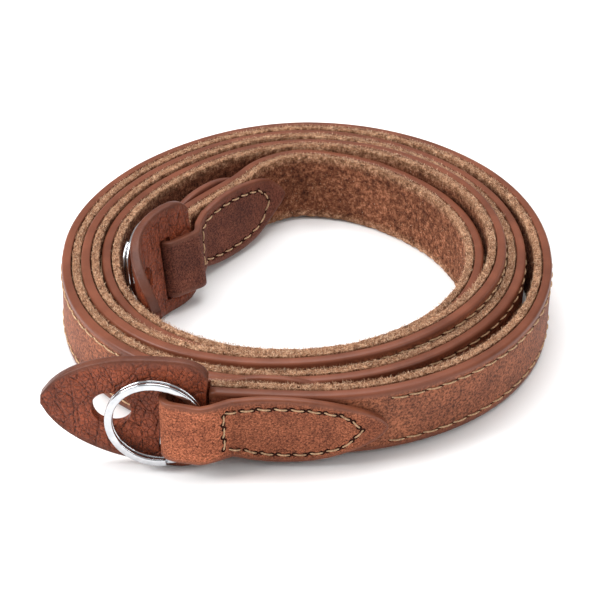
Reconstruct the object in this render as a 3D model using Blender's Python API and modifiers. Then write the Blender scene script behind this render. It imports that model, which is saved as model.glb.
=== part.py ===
# Leather camera neck strap, rolled up and standing on its long edge.
# Two stitched leather layers make the band. At each end a folded leather tab
# carries a split ring, and a leaf shaped guard sits on the tab behind the ring.
# Metres, +Z up, the coil's centre near the Z axis, the open end at the front left.

import math

import bmesh
import bpy
import numpy as np
from mathutils import Matrix, Vector

MM = 0.001

# The band
STRAP_WIDTH = 15.0 * MM
FACE_THICKNESS = 1.85 * MM
LINING_THICKNESS = 1.6 * MM
LAYER_GAP = 0.25 * MM
FACE_EDGE_ROUND = 0.6 * MM
LINING_EDGE_ROUND = 0.3 * MM

# The coil
COIL_RADIUS = 36.95 * MM
TURN_GAP = 0.3 * MM
STATION_STEP = 10.0
TANGENT_STEP = 0.5

# The tabs
TAB_THICKNESS = 1.4 * MM
TAB_WIDTH = 16.0 * MM
LONG_TONGUE = 32.0 * MM
SHORT_TONGUE = 28.0 * MM
TAB_EDGE_ROUND = 0.35 * MM
TONGUE_STEPS = 11
LOOP_STEPS = 34
LOOP_RUN_IN = 0.12

# The ring guards
GUARD_LENGTH = 30.5 * MM
GUARD_HEIGHT = 24.0 * MM
GUARD_THICKNESS = 2.0 * MM
GUARD_EDGE_ROUND = 0.5 * MM
GUARD_STEPS = 26
SLOT_WIDTH = 3.0 * MM
SLOT_HEIGHT = 14.2 * MM
SLOT_DROP = 1.7 * MM
SLOT_FROM_END = 7.2 * MM
LUG_HOLE_WIDTH = 7.3 * MM
LUG_HOLE_HEIGHT = 6.6 * MM
LUG_HOLE_FROM_END = 17.4 * MM
LUG_HOLE_SIDES = 28

# The split rings
RING_DIAMETER = 18.9 * MM
RING_WIRE = 0.85 * MM
RING_BAND = 1.5 * MM
RING_TURN_GAP = 0.08 * MM
RING_TURNS = 2
RING_STEPS = 30
RING_RAMP_STEPS = 5
WIRE_SIDES = 8
WIRE_SQUARENESS = 0.6

# The outer end: distances past the strap's end, angles in degrees
OUTER_SLOT_OUT = 8.2 * MM
OUTER_GUARD_STAND = 0.4
OUTER_GUARD_PITCH = -5.0
OUTER_RING_END_GAP = 0.5 * MM
OUTER_RING_RISE = 0.5 * MM
OUTER_RING_SPLIT = 110.0

# The inner end
INNER_SLOT_OUT = 11.3 * MM
INNER_SLOT_ASIDE = 1.8 * MM
INNER_GUARD_TURN = 18.0
INNER_GUARD_BEND = 80.0
INNER_BEND_FROM = 0.20
INNER_BEND_TO = 0.95
INNER_GUARD_LEAN = 5.0
INNER_GUARD_PITCH = 2.0
INNER_RING_BACK = 1.4 * MM
INNER_RING_CLEAR = 1.3 * MM
INNER_RING_TURN = 8.0
INNER_RING_LEAN = 12.0
INNER_RING_SPLIT = 60.0

# Clearances
SEAT_GAP = 0.3 * MM

BROWN = (0.30, 0.095, 0.045, 1.0)
SUEDE = (0.42, 0.20, 0.09, 1.0)
TAB_BROWN = (0.34, 0.12, 0.055, 1.0)
GUARD_BROWN = (0.20, 0.065, 0.035, 1.0)
CHROME = (0.80, 0.80, 0.82, 1.0)

# The first turn, clockwise seen from above. turn_angle is 0 at the back and 90 at
# the right, and negative along the inner end, which leans in towards the middle.
# radius_share is a share of COIL_RADIUS, at half the strap's width.
FIRST_TURN = (
    # turn_angle, radius_share
    (-70.0, 0.750),
    (-55.0, 0.729),
    (-40.0, 0.745),
    (-28.0, 0.800),
    (-15.0, 0.925),
    (0.0, 1.000),
    (45.0, 0.930),
    (90.0, 0.926),
    (135.0, 0.950),
    (180.0, 1.015),
    (225.0, 1.100),
    (270.0, 1.092),
    (315.0, 1.066),
)

# How much further out each later turn lies than a turn that touches the one inside
# it, as a share of the strap's thickness, in eight directions.
LATER_TURNS = (
    # turn, back, back_right, right, front_right, front, front_left, left, back_left
    (2, 0.10, 0.48, 0.15, 0.08, 0.10, 0.20, 0.02, 0.08),
    (3, 0.26, 0.00, 0.02, -0.03, -0.05, 0.00, 0.00, 0.15),
    (4, 0.00, 0.27, 0.32, 0.70, 0.52),
)

# The outer end, past the front of the fourth turn: further out as a share of the
# strap's thickness, on the straight run to the end.
OUTER_END = (
    # turn_angle past the front, share
    (10.0, 0.80),
    (19.0, 1.36),
)

# How high the lower edge rides above the floor, as a share of STRAP_WIDTH.
LIFT = (
    # turn_angle, share
    (-70.0, 0.145),
    (-30.0, 0.080),
    (20.0, 0.000),
    (270.0, 0.010),
    (360.0, 0.040),
    (440.0, 0.120),
    (490.0, 0.190),
    (540.0, 0.170),
    (610.0, 0.060),
    (700.0, 0.020),
    (800.0, 0.000),
    (900.0, 0.060),
    (990.0, 0.000),
    (1190.0, 0.000),
    (1240.0, 0.070),
    (1279.0, 0.195),
)

# How far the upper edge leans outwards, in degrees, by direction.
LEAN = (
    # direction, degrees
    (0.0, 5.0),
    (90.0, 0.0),
    (180.0, 7.0),
    (270.0, -2.0),
    (360.0, 5.0),
)

# Half outline of a tab's tongue, from its point to the start of the loop.
TONGUE = (
    # share of the tongue's length, share of TAB_WIDTH
    (0.000, 0.02),
    (0.040, 0.26),
    (0.120, 0.50),
    (0.250, 0.74),
    (0.380, 0.90),
    (0.500, 0.98),
    (0.660, 1.00),
    (0.780, 0.95),
    (0.880, 0.87),
    (1.000, 0.85),
)
LOOP_WIDTH = 0.82 * TAB_WIDTH

# The middle line of each tab's loop, from the face side round to the lining side.
OUTER_LOOP = (
    # share of OUTER_SLOT_OUT, layer, share of TAB_THICKNESS outwards, share of the lean
    (0.12, "ring_front", 0.35, 0.6),
    (0.45, "ring_front", 0.20, 0.2),
    (0.86, "ring_front", -0.30, 0.0),
    (1.02, "ring", 0.20, 0.0),
    (1.01, "guard", 0.75, 0.0),
    (1.00, "guard", -0.75, 0.0),
    (0.90, "guard_back", -0.35, 0.0),
    (0.72, "guard_back", -0.60, 0.0),
    (0.38, "guard_back", -0.50, 0.4),
    (0.05, "lining", -0.95, 0.9),
)
INNER_LOOP = (
    # share of INNER_SLOT_OUT, layer, share of TAB_THICKNESS outwards, share of the lean
    (0.10, "strap_front", 0.10, 0.0),
    (0.40, "ring_front", 0.35, 0.7),
    (0.62, "ring_front", 0.15, 1.0),
    (0.82, "ring_front", 0.10, 1.0),
    (0.94, "ring", 0.60, 0.9),
    (0.97, "ring", -0.50, 0.7),
    (1.00, "guard", 0.00, 0.42),
    (1.03, "guard", -0.80, 0.42),
    (1.00, "guard_back", 0.10, 0.42),
    (0.88, "guard_back", -0.05, 0.42),
    (0.60, "guard_back", -0.15, 0.42),
    (0.37, "guard_back", -0.05, 0.42),
    (0.10, "lining", -2.00, 0.15),
)

# Half outline of a guard, from its flat end to its point.
GUARD = (
    # share of GUARD_LENGTH, share of GUARD_HEIGHT
    (0.000, 0.80),
    (0.025, 0.89),
    (0.070, 0.96),
    (0.140, 1.00),
    (0.240, 1.00),
    (0.400, 0.96),
    (0.560, 0.89),
    (0.700, 0.77),
    (0.810, 0.62),
    (0.890, 0.46),
    (0.950, 0.29),
    (1.000, 0.08),
)

STRAP_THICKNESS = FACE_THICKNESS + LAYER_GAP + LINING_THICKNESS
TURN_PITCH = STRAP_THICKNESS + TURN_GAP
FACE_SIDE = LAYER_GAP / 2 + FACE_THICKNESS
LINING_SIDE = -(LAYER_GAP / 2 + LINING_THICKNESS)
RING_DEPTH = 2 * RING_WIRE + RING_TURN_GAP
UP = Vector((0.0, 0.0, 1.0))


def smooth(table, at):
    """Reads a smooth curve through a table's first two columns."""
    xs = [row[0] for row in table]
    ys = [row[1] for row in table]
    if at <= xs[0]:
        return ys[0]
    if at >= xs[-1]:
        return ys[-1]
    i = max(k for k in range(len(xs) - 1) if xs[k] <= at)
    slope = []
    for k in (i, i + 1):
        lo, hi = max(k - 1, 0), min(k + 1, len(xs) - 1)
        slope.append((ys[hi] - ys[lo]) / (xs[hi] - xs[lo]))
    span = xs[i + 1] - xs[i]
    t = (at - xs[i]) / span
    h00 = 2 * t ** 3 - 3 * t ** 2 + 1
    h10 = t ** 3 - 2 * t ** 2 + t
    h01 = -2 * t ** 3 + 3 * t ** 2
    h11 = t ** 3 - t ** 2
    return h00 * ys[i] + h10 * span * slope[0] + h01 * ys[i + 1] + h11 * span * slope[1]


def route_table():
    """Turn angle and radius of every knot of the coil."""
    knots = [(angle, share * COIL_RADIUS) for angle, share in FIRST_TURN]
    radius = dict(knots)
    for turn, *shares in LATER_TURNS:
        for k, share in enumerate(shares):
            angle = 360.0 * (turn - 1) + 45.0 * k
            radius[angle] = radius[angle - 360.0] + TURN_PITCH + share * STRAP_THICKNESS
            knots.append((angle, radius[angle]))
    front = knots[-1][0]
    inside = 360.0 * 2 + 180.0
    for past, share in OUTER_END:
        base = radius[inside] + TURN_PITCH
        knots.append((front + past, base + share * STRAP_THICKNESS))
    return knots


ROUTE = route_table()
ROUTE_START = ROUTE[0][0]
ROUTE_END = ROUTE[-1][0]


def plan_point(angle):
    radius = smooth(ROUTE, angle)
    turn = math.radians(90.0 - angle)
    return Vector((radius * math.cos(turn), radius * math.sin(turn), 0.0))


def station(angle):
    """Place, face-side normal and up direction of the strap's middle at a turn angle."""
    ahead = plan_point(min(angle + TANGENT_STEP, ROUTE_END))
    behind = plan_point(max(angle - TANGENT_STEP, ROUTE_START))
    tangent = (ahead - behind).normalized()
    outward = Vector((-tangent.y, tangent.x, 0.0))
    lean = math.radians(smooth(LEAN, angle % 360.0))
    up = UP * math.cos(lean) + outward * math.sin(lean)
    normal = outward * math.cos(lean) - UP * math.sin(lean)
    rise = max(smooth(LIFT, angle), 0.0) * STRAP_WIDTH + FACE_SIDE * abs(math.sin(lean))
    middle = plan_point(angle) + UP * (rise + STRAP_WIDTH / 2 * math.cos(lean))
    return middle, normal, up, tangent


def strap_angles():
    count = math.ceil((ROUTE_END - ROUTE_START) / STATION_STEP)
    return [min(ROUTE_START + STATION_STEP * k, ROUTE_END) for k in range(count + 1)]


class Run:
    """The strap's stations by length, measured from one end."""

    def __init__(self, from_outer):
        angles = strap_angles()
        if from_outer:
            angles = angles[::-1]
        self.stations = [station(angle) for angle in angles]
        middles = [np.array(place[0]) for place in self.stations]
        steps = [np.linalg.norm(b - a) for a, b in zip(middles, middles[1:])]
        self.length = np.concatenate(([0.0], np.cumsum(steps)))
        self.sign = 1.0 if from_outer else -1.0

    def at(self, back, across):
        """A point this far back from the end and this far to the face side."""
        k = min(int(np.searchsorted(self.length, back, "right")) - 1, len(self.stations) - 2)
        share = (back - self.length[k]) / (self.length[k + 1] - self.length[k])
        edges = [middle + normal * across for middle, normal, up, tangent in self.stations[k:k + 2]]
        ups = [up for middle, normal, up, tangent in self.stations[k:k + 2]]
        return edges[0].lerp(edges[1], share), ups[0].lerp(ups[1], share).normalized()

    def end_frame(self):
        """Place, outward heading and face side of the strap's end, all level."""
        middle, normal, up, tangent = self.stations[0]
        face = Vector((normal.x, normal.y, 0.0)).normalized()
        return middle.copy(), tangent * self.sign, face


def new_material(name, colour, roughness, metallic=0.0):
    material = bpy.data.materials.new(name)
    material.use_nodes = True
    shader = material.node_tree.nodes["Principled BSDF"]
    shader.inputs["Base Color"].default_value = colour
    shader.inputs["Roughness"].default_value = roughness
    shader.inputs["Metallic"].default_value = metallic
    material.diffuse_color = colour
    return material


def new_object(name, mesh, material, collection):
    obj = bpy.data.objects.new(name, mesh)
    collection.objects.link(obj)
    mesh.materials.append(material)
    return obj


def sheet(name, rails, material, collection):
    """An open strip of leather between a lower and an upper rail of points."""
    bm = bmesh.new()
    lower = [bm.verts.new(low) for low, high in rails]
    upper = [bm.verts.new(high) for low, high in rails]
    for k in range(len(rails) - 1):
        bm.faces.new((lower[k + 1], lower[k], upper[k], upper[k + 1]))
    bm.normal_update()
    mesh = bpy.data.meshes.new(name)
    bm.to_mesh(mesh)
    bm.free()
    return new_object(name, mesh, material, collection)


def thicken(obj, thickness, offset):
    solid = obj.modifiers.new("Wall", "SOLIDIFY")
    solid.thickness = thickness
    solid.offset = offset
    solid.use_even_offset = True


def round_edges(obj, width, segments, angle):
    bevel = obj.modifiers.new("Rounded edge", "BEVEL")
    bevel.width = width
    bevel.segments = segments
    bevel.limit_method = "ANGLE"
    bevel.angle_limit = math.radians(angle)
    bevel.use_clamp_overlap = True


def cut(obj, cutter):
    boolean = obj.modifiers.new(cutter.name, "BOOLEAN")
    boolean.operation = "DIFFERENCE"
    boolean.solver = "EXACT"
    boolean.object = cutter


def guide(obj):
    obj.hide_render = True
    obj.display_type = "WIRE"


def smooth_shade(obj):
    obj.data.shade_smooth()


def strap_layer(name, across, thickness, offset, edge_round, material, collection):
    rails = []
    for angle in strap_angles():
        middle, normal, up, tangent = station(angle)
        seat = middle + normal * across
        rails.append((seat - up * STRAP_WIDTH / 2, seat + up * STRAP_WIDTH / 2))
    layer = sheet(name, rails, material, collection)
    thicken(layer, thickness, offset)
    round_edges(layer, edge_round, 2, 50.0)
    smooth_shade(layer)
    return layer


def smooth_vector(table, at):
    return Vector([smooth([(x, value[axis]) for x, value in table], at) for axis in range(3)])


def curve_through(points, companions, count):
    """Evenly spaced points on a smooth curve, with a companion vector read beside each."""
    lengths = [0.0]
    for a, b in zip(points, points[1:]):
        lengths.append(lengths[-1] + (b - a).length)
    places = [lengths[-1] * k / (count - 1) for k in range(count)]
    line = list(zip(lengths, points))
    beside = list(zip(lengths, companions))
    return [(smooth_vector(line, at), smooth_vector(beside, at).normalized()) for at in places]


def tongue_rails(run, length, across):
    """A stitched tongue from its point to where the loop leaves the strap."""
    rails = []
    for k in range(TONGUE_STEPS + 1):
        share = k / TONGUE_STEPS * (1.0 - LOOP_RUN_IN)
        point, up = run.at(length * (1.0 - share), across)
        half = smooth(TONGUE, share) * TAB_WIDTH / 2
        rails.append((point - up * half, point + up * half))
    return rails


def tab_rails(run, loop, lean, rise, face_length, lining_length):
    """Lower and upper rails of a tab: one tongue, the loop, the other tongue."""
    face = tongue_rails(run, face_length, FACE_SIDE + SEAT_GAP + TAB_THICKNESS / 2)
    lining = tongue_rails(run, lining_length, LINING_SIDE - SEAT_GAP - TAB_THICKNESS / 2)
    middle, heading, side = run.end_frame()
    centres = []
    ups = []
    for out, across, lean_share, rise_share in loop:
        angle = math.radians(lean) * lean_share
        centres.append(middle + heading * out + side * across + UP * rise * rise_share)
        ups.append(UP * math.cos(angle) + side * math.sin(angle))
    for place, rail in ((0, face[-1]), (len(centres) + 1, lining[-1])):
        centres.insert(place, (rail[0] + rail[1]) / 2)
        ups.insert(place, (rail[1] - rail[0]).normalized())
    edge = smooth(TONGUE, 1.0 - LOOP_RUN_IN) * TAB_WIDTH
    rails = []
    for k, (point, up) in enumerate(curve_through(centres, ups, LOOP_STEPS)[1:-1], 1):
        waist = math.sin(math.pi * k / (LOOP_STEPS - 1))
        half = (edge + (LOOP_WIDTH - edge) * waist) / 2
        rails.append((point - up * half, point + up * half))
    return face + rails + lining[::-1]


def tab(name, rails, material, collection):
    piece = sheet(name, rails, material, collection)
    thicken(piece, TAB_THICKNESS, 0.0)
    round_edges(piece, TAB_EDGE_ROUND, 1, 50.0)
    smooth_shade(piece)
    return piece


def guard_path(heading, bend, bend_from, bend_to):
    """Plan points of a guard from its flat end, turning by bend between two shares."""
    points = [Vector((0.0, 0.0, 0.0))]
    headings = [heading]
    for k in range(GUARD_STEPS):
        share = (k + 0.5) / GUARD_STEPS
        done = min(max((share - bend_from) / (bend_to - bend_from), 0.0), 1.0)
        headings.append(Matrix.Rotation(bend * done, 3, "Z") @ heading)
        points.append(points[-1] + headings[-1] * GUARD_LENGTH / GUARD_STEPS)
    return points, headings


def guard(name, hinge, heading, bend, lean, pitch, material, collection, cutters):
    """A leaf shaped guard, bent in plan, then leaned and pitched about its slot."""
    points, headings = guard_path(heading, bend, INNER_BEND_FROM, INNER_BEND_TO)
    slot_centre = heading * SLOT_FROM_END
    side = UP.cross(heading).normalized()
    turn = (Matrix.Translation(hinge) @ Matrix.Rotation(pitch, 4, side)
            @ Matrix.Rotation(lean, 4, heading) @ Matrix.Translation(-slot_centre))
    shares = [k / GUARD_STEPS for k in range(GUARD_STEPS + 1)]
    rounded = [share for share, height in GUARD if 0.0 < share < shares[1]]
    stations = [(0.0, points[0])]
    stations += [(share, points[0].lerp(points[1], share / shares[1])) for share in rounded]
    stations += list(zip(shares, points))[1:]
    rails = []
    for share, point in stations:
        half = smooth(GUARD, share) * GUARD_HEIGHT / 2
        rails.append((turn @ (point - UP * half), turn @ (point + UP * half)))
    leaf = sheet(name, rails, material, collection)
    thicken(leaf, GUARD_THICKNESS, 0.0)
    round_edges(leaf, GUARD_EDGE_ROUND, 2, 50.0)

    deep = 4 * GUARD_THICKNESS
    slot = box(name + "_slot", (SLOT_WIDTH, deep, SLOT_HEIGHT), cutters)
    slot.matrix_world = turn @ frame_matrix(slot_centre - UP * SLOT_DROP, heading, side)
    cut(leaf, slot)
    reach = LUG_HOLE_FROM_END / GUARD_LENGTH * GUARD_STEPS
    index = int(reach)
    centre = points[index].lerp(points[index + 1], reach - index)
    along = headings[index + 1]
    hole = lug_hole(name + "_lug_hole", deep, cutters)
    hole.matrix_world = turn @ frame_matrix(centre, along, UP.cross(along).normalized())
    cut(leaf, hole)
    smooth_shade(leaf)
    leaf.data.set_sharp_from_angle(angle=math.radians(40.0))
    return leaf


def frame_matrix(origin, along, across):
    turn = Matrix((along, across, UP)).transposed().to_4x4()
    return Matrix.Translation(origin) @ turn


def box(name, size, collection):
    bpy.ops.mesh.primitive_cube_add(size=1.0)
    obj = bpy.context.object
    obj.data.transform(Matrix.Diagonal((size[0], size[1], size[2], 1.0)))
    return adopt(obj, name, collection)


def lug_hole(name, depth, collection):
    """A lug hole's cutter: an oval bar along Y."""
    bpy.ops.mesh.primitive_cylinder_add(vertices=LUG_HOLE_SIDES, radius=0.5, depth=depth)
    obj = bpy.context.object
    obj.data.transform(Matrix.Rotation(math.radians(90.0), 4, "X"))
    obj.data.transform(Matrix.Diagonal((LUG_HOLE_WIDTH, 1.0, LUG_HOLE_HEIGHT, 1.0)))
    return adopt(obj, name, collection)


def adopt(obj, name, collection):
    obj.name = name
    for other in list(obj.users_collection):
        other.objects.unlink(obj)
    collection.objects.link(obj)
    guide(obj)
    return obj


def split_ring(name, centre, along, normal, split, material, collection):
    """Two turns of flat wire, wound as one helix, its ends stepped past each other."""
    radius = RING_DIAMETER / 2 - RING_BAND / 2
    pitch = RING_WIRE + RING_TURN_GAP
    bm = bmesh.new()
    loops = []
    for k in range(RING_STEPS * RING_TURNS - 1):
        angle = math.radians(split) + 2 * math.pi * (k + 0.5) / RING_STEPS
        climb = smooth_step((k + 0.5 - RING_STEPS) / RING_RAMP_STEPS + 0.5)
        loops.append(wire_section(bm, radius, angle, pitch * (climb - 0.5)))
    for a, b in zip(loops, loops[1:]):
        bmesh.ops.bridge_loops(bm, edges=section_edges(bm, a) + section_edges(bm, b))
    for verts in (loops[0], loops[-1]):
        bmesh.ops.contextual_create(bm, geom=verts + section_edges(bm, verts))
    bmesh.ops.recalc_face_normals(bm, faces=bm.faces)
    mesh = bpy.data.meshes.new(name)
    bm.to_mesh(mesh)
    bm.free()
    ring = new_object(name, mesh, material, collection)
    frame = Matrix((along, normal.cross(along).normalized(), normal)).transposed().to_4x4()
    ring.matrix_world = Matrix.Translation(centre) @ frame
    smooth_shade(ring)
    return ring


def smooth_step(share):
    share = min(max(share, 0.0), 1.0)
    return share * share * (3 - 2 * share)


def squared(value):
    """Pulls a cosine or sine outwards, so that a circle becomes a rounded square."""
    return math.copysign(abs(value) ** WIRE_SQUARENESS, value)


def wire_section(bm, radius, angle, shift):
    """Points round the wire: a flat band with rounded edges."""
    verts = []
    for k in range(WIRE_SIDES):
        turn = 2 * math.pi * (k + 0.5) / WIRE_SIDES
        reach = radius + squared(math.cos(turn)) * RING_BAND / 2
        rise = shift + squared(math.sin(turn)) * RING_WIRE / 2
        verts.append(bm.verts.new((reach * math.cos(angle), reach * math.sin(angle), rise)))
    for a, b in zip(verts, verts[1:] + verts[:1]):
        bm.edges.new((a, b))
    return verts


def section_edges(bm, verts):
    return [bm.edges.get((a, b)) for a, b in zip(verts, verts[1:] + verts[:1])]


def loop_points(table, reach, layers):
    """A loop's points past the strap's end: out, across, lean and how far it has risen."""
    points = []
    for share, layer, outward, lean in table:
        out = share * reach
        points.append((out, layers[layer](out) + outward * TAB_THICKNESS, lean, min(share, 1.0)))
    return points


def outer_end(collection, cutters, leather, guard_leather, chrome):
    """Tab, guard and ring at the open end, the ring lying on the face of the guard."""
    run = Run(from_outer=True)
    middle, heading, face = run.end_frame()
    guard_at = FACE_SIDE + (OUTER_GUARD_STAND - 0.5) * GUARD_THICKNESS
    ring_at = guard_at + GUARD_THICKNESS / 2 + SEAT_GAP + RING_DEPTH / 2
    front = ring_at + RING_DEPTH / 2 + SEAT_GAP + TAB_THICKNESS / 2
    back = guard_at - GUARD_THICKNESS / 2 - SEAT_GAP - TAB_THICKNESS / 2
    layers = {
        "ring_front": lambda out: front,
        "ring": lambda out: ring_at,
        "guard": lambda out: guard_at,
        "guard_back": lambda out: back,
        "lining": lambda out: LINING_SIDE,
    }
    loop = loop_points(OUTER_LOOP, OUTER_SLOT_OUT, layers)
    strap_lean = smooth(LEAN, ROUTE_END % 360.0)
    rails = tab_rails(run, loop, strap_lean, 0.0, LONG_TONGUE, SHORT_TONGUE)
    tab("outer_tab", rails, leather, collection)
    hinge = middle + heading * OUTER_SLOT_OUT + face * guard_at
    hinge.z = GUARD_HEIGHT / 2 + SEAT_GAP
    guard("outer_ring_guard", hinge, heading, 0.0, 0.0, math.radians(OUTER_GUARD_PITCH),
          guard_leather, collection, cutters)
    centre = middle + heading * (OUTER_RING_END_GAP + RING_DIAMETER / 2) + face * ring_at
    centre.z += OUTER_RING_RISE
    split_ring("outer_split_ring", centre, heading, face, OUTER_RING_SPLIT, chrome, collection)


def inner_end(collection, cutters, leather, guard_leather, chrome):
    """The same pieces at the inner end, the guard bent and leaning, the ring by the wall."""
    run = Run(from_outer=False)
    middle, heading, face = run.end_frame()
    guard_turn = math.radians(INNER_GUARD_TURN)
    ring_turn = math.radians(INNER_RING_TURN)
    ring_lean = math.radians(INNER_RING_LEAN)
    ring_out = INNER_SLOT_OUT - INNER_RING_BACK
    ring_at = -INNER_SLOT_ASIDE + (GUARD_THICKNESS + RING_DEPTH) / 2 + INNER_RING_CLEAR
    tab_seat = SEAT_GAP + TAB_THICKNESS / 2

    def guard_line(out):
        return -INNER_SLOT_ASIDE + (out - INNER_SLOT_OUT) * math.tan(guard_turn)

    def ring_line(out):
        return ring_at + (out - ring_out) * math.tan(ring_turn)

    layers = {
        "strap_front": lambda out: FACE_SIDE + tab_seat,
        "ring_front": lambda out: ring_line(out) + RING_DEPTH / 2 + tab_seat,
        "ring": ring_line,
        "guard": guard_line,
        "guard_back": lambda out: guard_line(out) - GUARD_THICKNESS / 2 - tab_seat,
        "lining": lambda out: LINING_SIDE,
    }
    loop = loop_points(INNER_LOOP, INNER_SLOT_OUT, layers)
    hinge = middle + heading * INNER_SLOT_OUT - face * INNER_SLOT_ASIDE
    hinge.z = GUARD_HEIGHT / 2 + SEAT_GAP
    rise = hinge.z - SLOT_DROP - middle.z
    rails = tab_rails(run, loop, INNER_RING_LEAN, rise, SHORT_TONGUE, LONG_TONGUE)
    tab("inner_tab", rails, leather, collection)
    guard_heading = heading * math.cos(guard_turn) + face * math.sin(guard_turn)
    guard("inner_ring_guard", hinge, guard_heading, math.radians(INNER_GUARD_BEND),
          math.radians(INNER_GUARD_LEAN), math.radians(INNER_GUARD_PITCH), guard_leather, collection,
          cutters)
    along = heading * math.cos(ring_turn) + face * math.sin(ring_turn)
    level = face * math.cos(ring_turn) - heading * math.sin(ring_turn)
    normal = level * math.cos(ring_lean) - UP * math.sin(ring_lean)
    centre = middle + heading * ring_out + face * ring_at
    centre.z = RING_DIAMETER / 2 * math.cos(ring_lean) + RING_DEPTH / 2 + SEAT_GAP
    split_ring("inner_split_ring", centre, along, normal, INNER_RING_SPLIT, chrome, collection)


def settle(parts, cutters):
    """Moves everything so that the origin is under the middle of the whole thing's box."""
    depsgraph = bpy.context.evaluated_depsgraph_get()
    corners = []
    for obj in parts.objects:
        solid = obj.evaluated_get(depsgraph)
        corners += [obj.matrix_world @ vert.co for vert in solid.to_mesh().vertices]
        solid.to_mesh_clear()
    low = Vector([min(corner[axis] for corner in corners) for axis in range(3)])
    high = Vector([max(corner[axis] for corner in corners) for axis in range(3)])
    shift = Vector((-(low.x + high.x) / 2, -(low.y + high.y) / 2, -low.z))
    for obj in list(parts.objects) + list(cutters.objects):
        obj.matrix_world = Matrix.Translation(shift) @ obj.matrix_world


def build():
    for obj in list(bpy.data.objects):
        bpy.data.objects.remove(obj, do_unlink=True)
    parts = bpy.data.collections.new("camera_neck_strap")
    cutters = bpy.data.collections.new("cutters")
    for collection in (parts, cutters):
        bpy.context.scene.collection.children.link(collection)
    strap_layer("strap_face", LAYER_GAP / 2, FACE_THICKNESS, 1.0, FACE_EDGE_ROUND,
                new_material("smooth_leather", BROWN, 0.45), parts)
    strap_layer("strap_lining", -LAYER_GAP / 2, LINING_THICKNESS, -1.0, LINING_EDGE_ROUND,
                new_material("suede", SUEDE, 0.95), parts)
    leather = new_material("tab_leather", TAB_BROWN, 0.7)
    guard_leather = new_material("guard_leather", GUARD_BROWN, 0.6)
    chrome = new_material("polished_steel", CHROME, 0.12, 1.0)
    outer_end(parts, cutters, leather, guard_leather, chrome)
    inner_end(parts, cutters, leather, guard_leather, chrome)
    bpy.context.view_layer.update()
    settle(parts, cutters)


build()
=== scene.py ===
import math
import random

import bmesh
import bpy
from mathutils import Matrix, Vector, noise


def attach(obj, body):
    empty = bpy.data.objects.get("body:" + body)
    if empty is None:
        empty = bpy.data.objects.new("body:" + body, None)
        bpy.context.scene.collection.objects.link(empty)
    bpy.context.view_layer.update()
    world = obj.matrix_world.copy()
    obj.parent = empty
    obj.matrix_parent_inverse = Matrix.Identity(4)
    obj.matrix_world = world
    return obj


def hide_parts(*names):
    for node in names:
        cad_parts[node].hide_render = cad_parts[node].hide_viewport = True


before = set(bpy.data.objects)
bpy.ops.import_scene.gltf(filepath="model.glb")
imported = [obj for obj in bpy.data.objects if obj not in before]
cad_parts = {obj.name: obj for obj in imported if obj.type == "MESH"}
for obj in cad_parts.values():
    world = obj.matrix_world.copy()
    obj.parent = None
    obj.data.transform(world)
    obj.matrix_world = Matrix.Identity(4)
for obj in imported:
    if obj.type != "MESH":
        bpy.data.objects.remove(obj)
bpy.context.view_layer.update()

mm = 0.001
worldUp = Vector((0.0, 0.0, 1.0))
shift = Vector((0.318, 3.129, 0.002)) * mm      # from the coil's centre to the frame's origin

# The band, rolled up clockwise. Angles are degrees from the back, radii are shares of the
# coil's radius on the first turn, and of the band's thickness on the later ones.
band = {
    "width": 15.0 * mm,
    "face": 1.85 * mm,
    "lining": 1.6 * mm,
    "layerGap": 0.25 * mm,
    "coilRadius": 36.95 * mm,
    "turnGap": 0.3 * mm,
    "step": 1.5,
    "tangentReach": 0.5,
    "firstTurn": (
        (-70.0, 0.750), (-55.0, 0.729), (-40.0, 0.745), (-28.0, 0.800), (-15.0, 0.925), (0.0, 1.000),
        (45.0, 0.930), (90.0, 0.926), (135.0, 0.950), (180.0, 1.015), (225.0, 1.100), (270.0, 1.092),
        (315.0, 1.066)),
    "laterTurns": (
        (2, 0.10, 0.48, 0.15, 0.08, 0.10, 0.20, 0.02, 0.08),
        (3, 0.26, 0.00, 0.02, -0.03, -0.05, 0.00, 0.00, 0.15),
        (4, 0.00, 0.27, 0.32, 0.70, 0.52)),
    "outerEnd": ((10.0, 0.80), (19.0, 1.36)),
    "lift": (
        (-70.0, 0.145), (-30.0, 0.080), (20.0, 0.000), (270.0, 0.010), (360.0, 0.040), (440.0, 0.120),
        (490.0, 0.190), (540.0, 0.170), (610.0, 0.060), (700.0, 0.020), (800.0, 0.000), (900.0, 0.060),
        (990.0, 0.000), (1190.0, 0.000), (1240.0, 0.070), (1279.0, 0.195)),
    "lean": ((0.0, 5.0), (90.0, 0.0), (180.0, 7.0), (270.0, -2.0), (360.0, 5.0)),
}
thickness = band["face"] + band["layerGap"] + band["lining"]
faceSide = band["layerGap"] / 2 + band["face"]
liningSide = -(band["layerGap"] / 2 + band["lining"])


# A smooth curve through a table's rows
def readTable(table, at):
    if at <= table[0][0]:
        return table[0][1]
    if at >= table[-1][0]:
        return table[-1][1]
    i = max(k for k in range(len(table) - 1) if table[k][0] <= at)
    slopes = []
    for k in (i, i + 1):
        low, high = table[max(k - 1, 0)], table[min(k + 1, len(table) - 1)]
        slopes.append((high[1] - low[1]) / (high[0] - low[0]))
    span = table[i + 1][0] - table[i][0]
    t = (at - table[i][0]) / span
    begin = (2 * t ** 3 - 3 * t ** 2 + 1) * table[i][1] + (t ** 3 - 2 * t ** 2 + t) * span * slopes[0]
    return begin + (3 * t ** 2 - 2 * t ** 3) * table[i + 1][1] + (t ** 3 - t ** 2) * span * slopes[1]


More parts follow.
